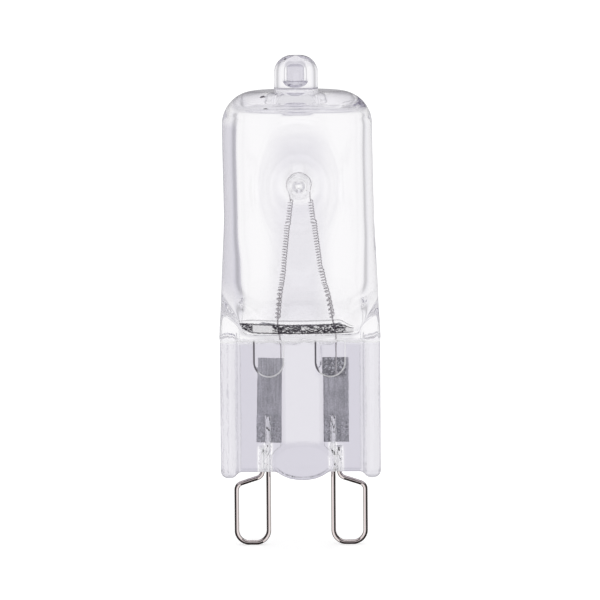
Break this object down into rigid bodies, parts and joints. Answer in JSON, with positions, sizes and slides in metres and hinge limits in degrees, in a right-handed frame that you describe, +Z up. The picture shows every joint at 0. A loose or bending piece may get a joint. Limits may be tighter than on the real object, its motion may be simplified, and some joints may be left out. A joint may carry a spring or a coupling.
{
  "type": "halogen capsule bulb",
  "caption": "Clear quartz halogen capsule bulb with a hairpin coil filament, a flat pinch-seal base and wire-loop contact pins.",
  "frame": {"origin": "midway between the two pin loops on the seating plane, which touches the lower ends of the side ribs", "axes": "+Z up the bulb towards the exhaust tip, +X from the left pin loop to the right one, Y through the thickness of the pinch with the front at -Y"},
  "size_m": [0.0148, 0.014, 0.0455],
  "materials": {
    "quartz_glass": "clear fused quartz, fire-polished, slightly wavy at the pinch",
    "tungsten": "grey drawn tungsten wire",
    "molybdenum_foil": "matte rolled foil",
    "pin_wire": "bright drawn wire"
  },
  "bodies": {
    "root": {"glass_envelope": "quartz_glass", "filament": "tungsten", "inner_lead_left": "tungsten", "inner_lead_right": "tungsten", "foil_left": "molybdenum_foil", "foil_right": "molybdenum_foil", "pin_loop_left": "pin_wire", "pin_loop_right": "pin_wire"}
  },
  "joints": []
}
